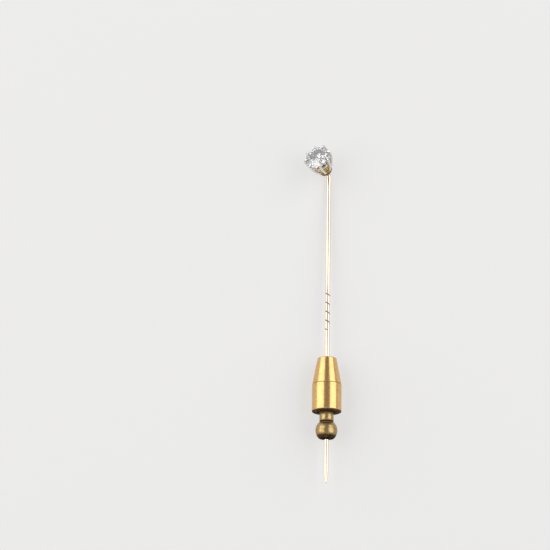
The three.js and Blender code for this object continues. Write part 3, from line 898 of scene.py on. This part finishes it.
def modelled_claw():
    """One claw, rising from the collet's wall at +Z and turned in over the stone's crown."""
    h = head_sizes()
    spread = h.claw_waist - h.claw_root
    outside = h.stone_radius + h.claw_stand_out
    waist = h.claw_foot + h.claw_waist_rise
    shoulder_rise, shoulder_out = CLAW_SHOULDER
    points = [
        *(Vector((0, h.claw_foot + up * h.claw_waist_rise, h.claw_root + out * spread))
          for up, out in CLAW_CURVE),
        Vector((0, (waist + h.girdle_level) / 2, 0.32 * h.claw_waist + 0.68 * outside)),
        Vector((0, h.girdle_level, outside)),
        Vector((0, h.girdle_level + shoulder_rise, h.stone_radius + shoulder_out)),
        Vector((0, h.girdle_level + h.claw_rise, h.stone_radius - h.claw_reach)),
    ]
    sections = []
    steps = 56
    for i in range(steps + 1):
        where, way = smooth_path(points, i / steps)
        sections.append(section(where, way, h.claw_radius * (1.04 - 0.08 * i / steps)))
    where, way = smooth_path(points, 1)
    tip_radius = h.claw_radius * 0.96
    for i in range(1, 9):
        turn = i * math.pi / 16.4
        dome = where + way * (tip_radius * math.sin(turn))
        sections.append(section(dome, way, tip_radius * math.cos(turn)))
    bm = cut(cut(swept(sections, 28), seat_for_stone(h)), seat_for_collet(h))
    darken(bm, lambda co: 0.7 * fading(co.y - h.claw_foot, 0.1))
    return bm


def modelled_rail():
    """The band that braces the claws from the inside, under the stone."""
    h = head_sizes()
    return band(h.rail_radius - h.rail_wall, h.rail_radius, h.rail_foot,
                h.rail_foot + h.rail_height, 0.06)


def modelled_nose_cone():
    c = clutch_sizes()
    edge = c.nose_radius - c.edge_radius
    slope = math.atan2(c.foot_radius - c.nose_radius, c.nose_face - c.edge_radius - c.cone_foot)
    race_rear = c.race_front - (c.spigot_bore - c.race_radius) / math.tan(c.race_angle)
    bm = turned([
        (c.spigot_bore, c.spigot_rear),
        (c.spigot_radius, c.spigot_rear),
        (c.spigot_radius, c.cone_foot),
        (c.foot_radius, c.cone_foot),
        *arc(edge, c.nose_face - c.edge_radius, c.edge_radius, slope, math.pi / 2, 10),
        (c.nose_bore + 0.12, c.nose_face),
        (c.nose_bore, c.nose_face - 0.12),
        (c.nose_bore, c.race_front),
        (c.race_radius, c.race_front),
        (c.spigot_bore, race_rear),
    ], turned_sides(), ring=True, step=SHADE_AND_TARNISH_STEP)
    soften(bm, 0.03)
    darken(bm, lambda co: 0.35 * fading(co.y - c.cone_foot, 0.08))
    # Painted shade round the nose's bore.
    darken(bm, lambda co: 0.9 * fading(radius_of(co) - c.nose_bore, 0.14))
    return bm


def modelled_barrel():
    c = clutch_sizes()
    front = c.cone_foot - c.gap
    edge = c.barrel_radius - c.edge_radius
    bm = turned([
        (c.lip_bore, c.barrel_rear),
        *arc(edge, c.barrel_rear + c.edge_radius, c.edge_radius, -math.pi / 2, 0, 10),
        (c.barrel_radius, front - 0.05),
        (c.barrel_radius - 0.05, front),
        (c.barrel_bore, front),
        (c.barrel_bore, c.barrel_rear + c.lip_thickness),
        (c.lip_bore, c.barrel_rear + c.lip_thickness),
    ], turned_sides(), ring=True, step=SHADE_AND_TARNISH_STEP)
    soften(bm, 0.03)
    darken(bm, lambda co: 0.35 * fading(co.y - front, 0.08))
    # Painted reflection: the barrel's rear end is painted near-black, as the shaded floor beneath
    # that it would mirror.
    darken(bm, lambda co: 1.4 * fading(co.y - c.barrel_rear, 0.28))
    return bm


def washer_span(c):
    """Where the rear washer starts and ends along the stem."""
    rear = c.barrel_rear + c.lip_thickness + c.gap
    return rear, rear + c.washer_thickness


def modelled_washer():
    c = clutch_sizes()
    rear, front = washer_span(c)
    bm = turned([
        (c.washer_bore, rear),
        (c.barrel_bore - c.gap, rear),
        (c.barrel_bore - c.gap, front),
        (c.washer_bore, front),
    ], turned_sides(), ring=True)
    soften(bm, 0.04)
    # Painted shade: the whole washer, inside the barrel's rear, is painted dark.
    darken(bm, lambda co: 0.7)
    return bm


def ball_place(c):
    """How far along the stem the balls sit, where race and stem both hold them."""
    reach = c.ball_orbit + (c.ball_radius + c.ball_gap) / math.cos(c.race_angle) - c.race_radius
    return c.race_front - reach / math.tan(c.race_angle)


def modelled_plunger():
    c = clutch_sizes()
    tail_end = c.knob_centre - c.knob_flat + 0.5
    bm = turned([
        (c.plunger_bore, tail_end),
        (c.tail_radius, tail_end),
        (c.tail_radius, c.neck_rear),
        (c.neck_radius, c.neck_rear),
        (c.neck_radius, c.flange_rear),
        (c.flange_radius, c.flange_rear),
        (c.flange_radius, c.flange_front),
        (c.cage_radius, c.flange_front),
        (c.cage_radius, c.cage_front),
        (c.plunger_bore, c.cage_front),
    ], turned_sides(), ring=True, step=SHADE_AND_TARNISH_STEP)
    soften(bm, 0.05)
    for i in range(GRIP_BALLS):
        drill = bmesh.new()
        bmesh.ops.create_cone(
            drill, cap_ends=True, radius1=c.ball_hole, radius2=c.ball_hole,
            depth=2 * c.cage_radius, segments=40,
            matrix=Matrix.Rotation(FULL_TURN * i / GRIP_BALLS, 4, "Y")
            @ Matrix.Translation((0, ball_place(c), c.cage_radius + 0.2)))
        bm = cut(bm, drill)
    darken(bm, lambda co: 0.95 * fading(co.y - c.neck_rear, 0.25))
    # Painted shade on the neck where it leaves the barrel's rear.
    darken(bm, lambda co: 1.1 * fading(co.y - c.barrel_rear, 0.7))
    return bm


def modelled_knob():
    c = clutch_sizes()
    rear = c.knob_centre - c.knob_flat
    front_turn = math.acos(c.neck_radius / c.knob_radius)
    rear_turn = -math.asin(c.knob_flat / c.knob_radius)
    front = c.knob_centre + c.knob_radius * math.sin(front_turn)
    bm = turned([
        (c.knob_mouth, rear),
        *arc(0, c.knob_centre, c.knob_radius, rear_turn, front_turn, 40),
        (c.knob_bore, front),
        (c.knob_bore, rear + c.mouth_depth),
    ], turned_sides(), ring=True, step=SHADE_AND_TARNISH_STEP)
    soften(bm, 0.06)
    darken(bm, lambda co: 0.95 * fading(co.y - front, 0.3))
    # Painted reflection: the knob's rear is painted near-black, as the shaded floor beneath that
    # it would mirror.
    darken(bm, lambda co: 2.0 * fading(co.y - rear, 0.75))
    return bm


def modelled_spring():
    c = clutch_sizes()
    clear = c.spring_wire + c.gap
    start = washer_span(c)[1] + clear
    end = c.flange_rear - clear
    steps = round(32 * c.spring_turns)
    bm = bmesh.new()
    bmesh.ops.create_circle(
        bm, radius=c.spring_wire, segments=16,
        matrix=Matrix.Translation((c.spring_radius, start, 0)))
    bmesh.ops.spin(
        bm, geom=bm.verts[:] + bm.edges[:], cent=(0, 0, 0), axis=(0, 1, 0),
        dvec=(0, (end - start) / steps, 0), angle=FULL_TURN * c.spring_turns, steps=steps,
        use_merge=False)
    bmesh.ops.holes_fill(bm, edges=bm.edges, sides=0)
    close_up(bm)
    return bm


def modelled_ball(number):
    c = clutch_sizes()
    bm = bmesh.new()
    bmesh.ops.create_icosphere(
        bm, subdivisions=4, radius=c.ball_radius,
        matrix=Matrix.Rotation(FULL_TURN * (number - 1) / GRIP_BALLS, 4, "Y")
        @ Matrix.Translation((0, ball_place(c), c.ball_orbit)))
    return bm


def softbox(name, lean, width, s):
    """A long softbox over the pin, leaning from straight up towards +X."""
    light = bpy.data.lights.new(name, "AREA")
    light.shape = "RECTANGLE"
    light.size, light.size_y = width, s.box_length
    light.energy = math.pi * width * s.box_length * s.brightness
    box = bpy.data.objects.new(name, light)
    box.matrix_world = (Matrix.Rotation(lean, 4, "Y")
                        @ Matrix.Translation((0, s.box_forward, s.box_distance)))
    bpy.context.scene.collection.objects.link(box)


def studio_camera(s):
    """A camera that looks down at the pin, leaning towards its point."""
    forward = Vector((0, math.sin(s.camera_tilt), -math.cos(s.camera_tilt)))
    lean = Matrix.Rotation(s.camera_tilt, 4, "X")
    roll = Matrix.Rotation(s.camera_roll, 4, "Z")
    place = Matrix.Translation(Vector(s.look_at) - forward * s.camera_distance)
    data = bpy.data.cameras.new("studio_camera")
    data.angle = s.camera_field
    data.clip_start = 0.01
    camera = bpy.data.objects.new("studio_camera", data)
    camera.matrix_world = place @ lean @ roll
    bpy.context.scene.collection.objects.link(camera)
    bpy.context.scene.camera = camera


def floor_finish():
    nodes = Nodes("pale_surface")
    tone = tuple(bpy.context.scene.stick_pin_finishes.surface)
    here = nodes.add("ShaderNodeTexCoord").outputs["Object"]
    grain = nodes.add(
        "ShaderNodeTexNoise", {"Vector": here, "Scale": 6, "Detail": 2}).outputs["Fac"]
    shade = tuple(0.985 * channel for channel in tone)
    nodes.shade(
        Base_Color=nodes.mix(grain, tone, shade), Roughness=0.85, Specular_IOR_Level=0.2,
        Emission_Color=(1.0, 0.995, 0.985, 1),
        Emission_Strength=bpy.context.scene.stick_pin_stage.glow)
    return nodes.material


class STICKPIN_OT_stem(bpy.types.Operator):
    """Model the pin wire with its point, spiral groove and bend"""
    bl_idname = "stick_pin.stem"
    bl_label = "Stem"

    def execute(self, context):
        finish_piece("stem_wire", modelled_stem(), stem_place(), "rose_gold", "pin", "stem")
        return {"FINISHED"}


class STICKPIN_OT_collet(bpy.types.Operator):
    """Model the pierced collet under the stone"""
    bl_idname = "stick_pin.collet"
    bl_label = "Collet"

    def execute(self, context):
        finish_piece(
            "pierced_collet", modelled_collet(), head_place(), "yellow_gold", "pin", "collet")
        return {"FINISHED"}


class STICKPIN_OT_stone(bpy.types.Operator):
    """Cut the round brilliant"""
    bl_idname = "stick_pin.stone"
    bl_label = "Stone"

    def execute(self, context):
        finish_piece(
            "brilliant", modelled_stone(), head_place(), "diamond", "pin", "stone", crisp=True)
        return {"FINISHED"}


class STICKPIN_OT_claws(bpy.types.Operator):
    """Model the claws that rise from the collet to the stone, and the band that braces them"""
    bl_idname = "stick_pin.claws"
    bl_label = "Claws"

    def execute(self, context):
        h = head_sizes()
        finish_piece("claw_band", modelled_rail(), head_place(), "white_gold", "pin", "claw_rail")
        pattern = modelled_claw()
        for number in range(1, CLAWS + 1):
            turn = Matrix.Rotation(FULL_TURN * (number - 1 + h.claw_phase) / CLAWS, 4, "Y")
            finish_piece(f"claw_prong_{number}", pattern.copy(), head_place() @ turn,
                         "white_gold", "pin", f"claw_{number}")
        pattern.free()
        return {"FINISHED"}


class STICKPIN_OT_casing(bpy.types.Operator):
    """Model the clutch's nose cone and barrel"""
    bl_idname = "stick_pin.casing"
    bl_label = "Casing"

    def execute(self, context):
        for name, bm, node in (("casing_cone", modelled_nose_cone(), "nose_cone"),
                               ("casing_barrel", modelled_barrel(), "barrel")):
            finish_piece(name, bm, PIN_PLACE, "turned_brass", "casing", node)
        return {"FINISHED"}


class STICKPIN_OT_washer(bpy.types.Operator):
    """Model the washer that closes the barrel's rear"""
    bl_idname = "stick_pin.washer"
    bl_label = "Rear Washer"

    def execute(self, context):
        finish_piece(
            "spring_washer", modelled_washer(), PIN_PLACE, "turned_brass", "clutch_core",
            "rear_washer")
        return {"FINISHED"}


class STICKPIN_OT_plunger(bpy.types.Operator):
    """Model the plunger with its ball cage, flange, neck and tail"""
    bl_idname = "stick_pin.plunger"
    bl_label = "Plunger"

    def execute(self, context):
        finish_piece(
            "plunger_cage", modelled_plunger(), PIN_PLACE, "aged_brass", "plunger", "plunger")
        return {"FINISHED"}


class STICKPIN_OT_knob(bpy.types.Operator):
    """Model the ball knob that is pulled to let go"""
    bl_idname = "stick_pin.knob"
    bl_label = "Pull Knob"

    def execute(self, context):
        finish_piece(
            "ball_knob", modelled_knob(), PIN_PLACE, "aged_brass", "plunger", "pull_knob")
        return {"FINISHED"}


class STICKPIN_OT_spring(bpy.types.Operator):
    """Wind the spring between the rear washer and the plunger's flange. In the real clutch it
    shortens as the knob is pulled.
    """
    bl_idname = "stick_pin.spring"
    bl_label = "Spring"

    def execute(self, context):
        c = clutch_sizes()
        piece = finish_piece(
            "cage_spring", modelled_spring(), PIN_PLACE, "steel", "clutch_core", "spring")
        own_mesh(piece)
        return {"FINISHED"}


class STICKPIN_OT_balls(bpy.types.Operator):
    """Make the balls that grip the stem"""
    bl_idname = "stick_pin.balls"
    bl_label = "Grip Balls"

    def execute(self, context):
        for number in range(1, GRIP_BALLS + 1):
            finish_piece(f"steel_ball_{number}", modelled_ball(number), PIN_PLACE, "steel",
                         f"ball_{number}", f"grip_ball_{number}")
        return {"FINISHED"}


class STICKPIN_OT_stage(bpy.types.Operator):
    """Lay the pale surface, hang the softboxes and stand the camera"""
    bl_idname = "stick_pin.stage"
    bl_label = "Stage"

    def execute(self, context):
        s = context.scene.stick_pin_stage
        bm = bmesh.new()
        bmesh.ops.create_circle(bm, cap_ends=True, radius=SURFACE_RADIUS, segments=96)
        mesh = bpy.data.meshes.new("pale_surface")
        bm.to_mesh(mesh)
        bm.free()
        mesh.materials.append(floor_finish())
        floor = bpy.data.objects.new("pale_surface", mesh)
        context.scene.collection.objects.link(floor)
        softbox("left_softbox", -s.left_lean, s.left_width, s)
        softbox("right_softbox", s.right_lean, s.right_width, s)
        room = bpy.data.worlds.new("room")
        room.use_nodes = True
        background = room.node_tree.nodes["Background"].inputs
        background["Color"].default_value = (1.0, 1.0, 1.0, 1)
        background["Strength"].default_value = s.room_light
        context.scene.world = room
        context.scene.view_settings.view_transform = "Standard"
        studio_camera(s)
        return {"FINISHED"}


OPERATORS = [
    STICKPIN_OT_stem, STICKPIN_OT_collet, STICKPIN_OT_stone, STICKPIN_OT_claws,
    STICKPIN_OT_casing, STICKPIN_OT_washer, STICKPIN_OT_plunger, STICKPIN_OT_knob,
    STICKPIN_OT_spring, STICKPIN_OT_balls, STICKPIN_OT_stage,
]


class STICKPIN_PT_panel(bpy.types.Panel):
    """The pin's pieces and their sizes, in the sidebar"""
    bl_label = "Stick Pin"
    bl_idname = "STICKPIN_PT_panel"
    bl_space_type = "VIEW_3D"
    bl_region_type = "UI"
    bl_category = "Stick Pin"

    def draw(self, context):
        for operator in OPERATORS:
            self.layout.operator(operator.bl_idname)
        for name, group in GROUPS.items():
            section_box = self.layout.box()
            section_box.label(text=group.__doc__)
            for setting in group.__annotations__:
                section_box.prop(getattr(context.scene, name), setting)


def register():
    for group in GROUPS.values():
        bpy.utils.register_class(group)
    for name, group in GROUPS.items():
        setattr(bpy.types.Scene, name, PointerProperty(type=group))
    for operator in OPERATORS:
        bpy.utils.register_class(operator)
    bpy.utils.register_class(STICKPIN_PT_panel)


def unregister():
    bpy.utils.unregister_class(STICKPIN_PT_panel)
    for operator in reversed(OPERATORS):
        bpy.utils.unregister_class(operator)
    for name in GROUPS:
        delattr(bpy.types.Scene, name)
    for group in reversed(GROUPS.values()):
        bpy.utils.unregister_class(group)


def corners(bounds):
    return [list(corner) for corner in bounds]


def main():
    register()
    bpy.ops.stick_pin.stem()
    bpy.ops.stick_pin.collet()
    bpy.ops.stick_pin.stone()
    bpy.ops.stick_pin.claws()
    bpy.ops.stick_pin.casing()
    bpy.ops.stick_pin.washer()
    bpy.ops.stick_pin.plunger()
    bpy.ops.stick_pin.knob()
    bpy.ops.stick_pin.spring()
    bpy.ops.stick_pin.balls()
    bpy.ops.stick_pin.stage()
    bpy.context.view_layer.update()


if __name__ == "__main__":
    main()
